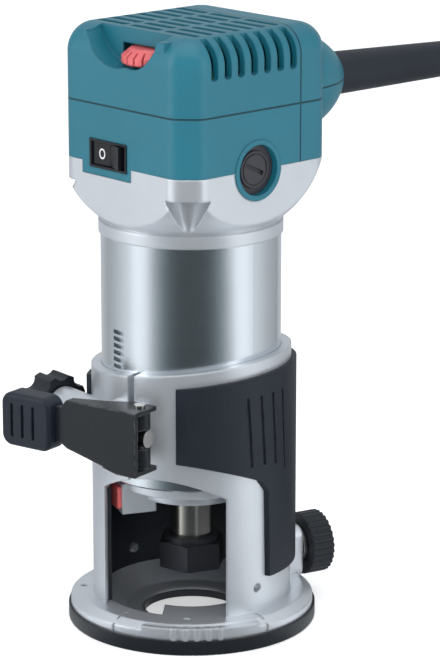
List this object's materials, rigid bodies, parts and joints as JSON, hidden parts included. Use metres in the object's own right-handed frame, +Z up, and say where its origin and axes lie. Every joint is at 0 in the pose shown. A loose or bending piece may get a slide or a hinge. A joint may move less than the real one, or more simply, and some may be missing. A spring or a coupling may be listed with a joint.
{
  "type": "trim router",
  "caption": "Compact trim router: round polished motor clamped in a small windowed base with a side lever, depth knob, collet nut, speed dial and a coiled mains lead with a plug.",
  "frame": {"origin": "on the spindle axis at the underside of the sole plate, in the plane of the work surface", "axes": "+Z up along the spindle, -Y towards the switch and the speed dial, +Y towards the mains lead, +X towards the clamp lever's open side"},
  "size_m": [0.153, 0.2861, 0.221],
  "materials": {
    "black_plastic": "fine moulded texture",
    "black_rubber": "soft matte overmould",
    "lead_rubber": "smooth flexible sheath",
    "cast_alloy": "satin painted die casting",
    "polished_alloy": "turned and polished tube",
    "screw_steel": "plated",
    "dark_steel": "blackened",
    "black_steel": "black oxide",
    "spindle_steel": "ground",
    "core_steel": "stacked laminations",
    "lever_steel": "dark plated sheet",
    "lever_plastic": "blue-black moulded pad",
    "spring_steel": "drawn wire",
    "copper": "copper segments",
    "copper_wire": "enamelled winding wire",
    "carbon": "pressed graphite",
    "fan_plastic": "plain moulded nylon",
    "teal_plastic": "satin moulded housing",
    "cap_plastic": "moulded cap",
    "rocker_plastic": "glossy rocker",
    "red_plastic": "red moulded",
    "board_green": "coated circuit board",
    "pin_chrome": "nickel plated"
  },
  "bodies": {
    "base": {"sub_base": "black_plastic", "sub_base_screws": "screw_steel", "base_casting": "cast_alloy", "right_grip": "black_rubber", "left_grip": "black_rubber", "chip_deflector": "black_plastic", "deflector_screws": "screw_steel", "tie_bolt": "screw_steel", "tie_nut": "dark_steel", "lever_pin": "screw_steel", "cord": "lead_rubber", "cord_coil": "lead_rubber", "plug_body": "black_plastic", "plug_pins": "pin_chrome"},
    "lever": {"clamp_lever": "lever_steel", "lever_pad": "lever_plastic"},
    "depth_pinion": {"pinion_shaft": "screw_steel", "depth_knob": "black_plastic"},
    "guide_collar": {"guide_washer": "screw_steel"},
    "guide_thumb_screw": {"guide_screw": "screw_steel", "guide_knob": "black_plastic"},
    "motor": {"motor_barrel": "polished_alloy", "bearing_bracket": "cast_alloy", "lower_bearing": "screw_steel", "upper_bearing": "screw_steel", "stator_core": "core_steel", "field_coils": "copper_wire", "motor_housing": "cast_alloy", "lower_cover": "teal_plastic", "upper_cover": "teal_plastic", "rear_upper_cover": "teal_plastic", "rear_lower_cover": "teal_plastic", "cover_screws": "dark_steel", "bearing_carrier": "black_plastic", "brush_holders": "cap_plastic", "brush_caps": "cap_plastic", "carbon_brushes": "carbon", "brush_springs": "spring_steel", "switch_body": "black_plastic", "speed_board": "board_green", "cord_clamp": "black_plastic", "cord_clamp_screws": "dark_steel", "lock_spring": "spring_steel", "cord_guard": "black_rubber", "inner_lead": "lead_rubber"},
    "rocker": {"switch_rocker": "rocker_plastic"},
    "dial": {"speed_dial": "red_plastic"},
    "rotor": {"armature_shaft": "spindle_steel", "armature_core": "core_steel", "commutator": "copper", "fan": "fan_plastic"},
    "collet_body": {"collet": "spindle_steel"},
    "nut": {"collet_nut": "black_steel"},
    "lock": {"lock_button": "red_plastic"}
  },
  "joints": [
    {"name": "depth_slide", "type": "slide", "parent": "base", "child": "motor", "axis": [0, 0, 1], "range_m": [-0.0175, 0.014], "deforming": ["cord"]},
    {"name": "depth_knob_turn", "type": "hinge", "parent": "base", "child": "depth_pinion", "pos_m": [-0.00315, -0.03596, 0.08], "axis": [-0.9962, 0.0872, 0], "range_deg": [-201, 251]},
    {"name": "clamp_lever_swing", "type": "hinge", "parent": "base", "child": "lever", "pos_m": [0.02028, -0.04251, 0.0805], "axis": [0, 0, 1], "range_deg": [0, 95]},
    {"name": "guide_washer_slide", "type": "slide", "parent": "base", "child": "guide_collar", "axis": [0.225, 0.9744, 0], "range_m": [0, 0.004]},
    {"name": "guide_screw_turn", "type": "hinge", "parent": "guide_collar", "child": "guide_thumb_screw", "pos_m": [0.01012, 0.04385, 0.0193], "axis": [0.225, 0.9744, 0], "range_deg": [0, 1445]},
    {"name": "power_switch", "type": "hinge", "parent": "motor", "child": "rocker", "pos_m": [-0.006, -0.0286, 0.1764], "axis": [0, 0, 1], "range_deg": [0, 12]},
    {"name": "speed_dial_turn", "type": "hinge", "parent": "motor", "child": "dial", "pos_m": [0.005, -0.02, 0.212], "axis": [0, 0, 1], "range_deg": [-150, 150]},
    {"name": "spindle_spin", "type": "hinge", "parent": "motor", "child": "rotor", "pos_m": [0, 0, 0.05], "axis": [0, 0, 1], "continuous": true},
    {"name": "collet_slide", "type": "slide", "parent": "rotor", "child": "collet_body", "axis": [0, 0, -1], "range_m": [0, 0.0017]},
    {"name": "collet_nut_turn", "type": "hinge", "parent": "collet_body", "child": "nut", "pos_m": [0, 0, 0.026], "axis": [0, 0, -1], "range_deg": [0, 500]},
    {"name": "shaft_lock_press", "type": "slide", "parent": "motor", "child": "lock", "axis": [0.3907, 0.9205, 0], "range_m": [0, 0.003], "stiffness_N_per_m": 700, "deforming": ["lock_spring"]}
  ],
  "couplings": [
    {"joint": "depth_knob_turn", "follows": "depth_slide", "rad_per_m": -250},
    {"joint": "guide_screw_turn", "follows": "guide_washer_slide", "rad_per_m": 6283.2},
    {"joint": "collet_nut_turn", "follows": "collet_slide", "rad_per_m": 5026.5}
  ]
}
